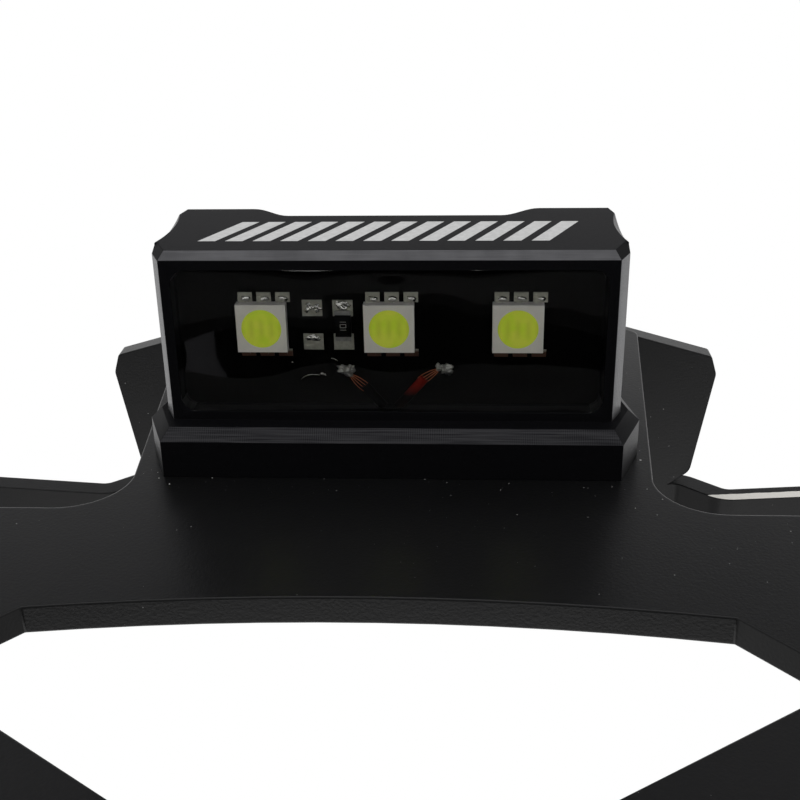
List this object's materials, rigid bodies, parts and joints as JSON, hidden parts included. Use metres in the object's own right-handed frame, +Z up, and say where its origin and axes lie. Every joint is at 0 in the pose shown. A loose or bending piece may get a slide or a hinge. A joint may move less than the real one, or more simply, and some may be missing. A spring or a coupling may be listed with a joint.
{
  "type": "tail tidy",
  "caption": "Motorbike tail tidy: a folded bracket with indicator arms, a hanging number plate carrier and a machined LED plate lamp.",
  "frame": {"origin": "middle of the four subframe holes, on the bracket's top face", "axes": "+Z up, +X across the bike to its right when seen from behind, +Y forward; the carrier faces -Y and the lamp shines along -Z"},
  "size_m": [0.196, 0.0711, 0.1215],
  "materials": {
    "black_powder_coat": "satin powder coat",
    "black_anodised_aluminium": "satin anodised",
    "zinc_steel": "zinc plated",
    "black_rubber": "matte",
    "board_mask": "solder mask",
    "led_body": "moulded",
    "led_phosphor": "silicone",
    "tinned_metal": "tinned",
    "chip_resistor": "glazed ceramic",
    "red_insulation": "extruded",
    "black_insulation": "extruded",
    "clear_resin": "clear, glossy"
  },
  "bodies": {
    "root": {"main_bracket": "black_powder_coat", "plate_carrier": "black_powder_coat", "carrier_bolts": "zinc_steel", "carrier_washers": "zinc_steel", "carrier_nuts": "zinc_steel", "lamp_housing": "black_anodised_aluminium", "lamp_screws": "zinc_steel", "lamp_washers": "zinc_steel", "lead_grommet": "black_rubber", "lamp_board": "board_mask", "led_left": "led_body", "led_centre": "led_body", "led_right": "led_body", "led_phosphor": "led_phosphor", "led_terminals": "tinned_metal", "solder_pads": "tinned_metal", "chip_resistor": "chip_resistor", "solder_joints": "tinned_metal", "red_lead_end": "red_insulation", "black_lead_end": "black_insulation", "lamp_resin": "clear_resin"}
  },
  "joints": []
}
